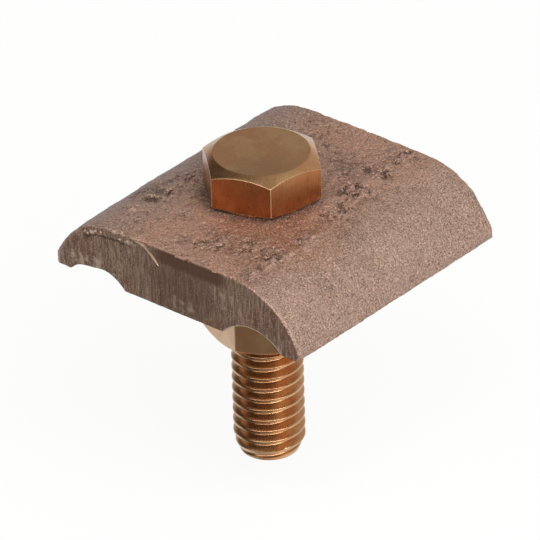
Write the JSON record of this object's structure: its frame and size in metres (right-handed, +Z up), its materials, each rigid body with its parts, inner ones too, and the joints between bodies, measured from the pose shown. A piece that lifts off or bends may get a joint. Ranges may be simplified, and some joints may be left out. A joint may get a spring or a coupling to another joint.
{
  "type": "parallel ground clamp",
  "caption": "Cast bronze saddle clamp that bonds parallel ground conductors to a steel bar, with conductor grooves in its underside and a central hex bolt, split lock washer and nut.",
  "frame": {"origin": "on the bolt's axis, in the plane of the casting's underside, between the two grooves", "axes": "+Z up along the bolt towards its head, X across the two conductor grooves, Y along the conductors"},
  "size_m": [0.0414, 0.0396, 0.044],
  "materials": {
    "cast_bronze": "sand-cast, dull",
    "bolt_bronze": "forged and rolled, satin",
    "washer_bronze": "drawn, satin",
    "nut_bronze": "machined, satin"
  },
  "bodies": {
    "casting": {"clamp_casting": "cast_bronze"},
    "bolt": {"hex_bolt": "bolt_bronze"},
    "washer": {"split_lock_washer": "washer_bronze"},
    "nut": {"hex_nut": "nut_bronze"}
  },
  "joints": [
    {"name": "bolt_turn", "type": "hinge", "parent": "casting", "child": "bolt", "pos_m": [0, 0, 0], "axis": [0, 0, 1], "continuous": true},
    {"name": "nut_travel", "type": "slide", "parent": "bolt", "child": "washer", "axis": [0, 0, -1], "range_m": [0, 0.0262]},
    {"name": "nut_turn", "type": "hinge", "parent": "washer", "child": "nut", "pos_m": [0, 0, 0], "axis": [0, 0, -1], "range_deg": [0, 5940]}
  ],
  "couplings": [
    {"joint": "nut_travel", "follows": "nut_turn", "m_per_rad": 0.00025266}
  ]
}
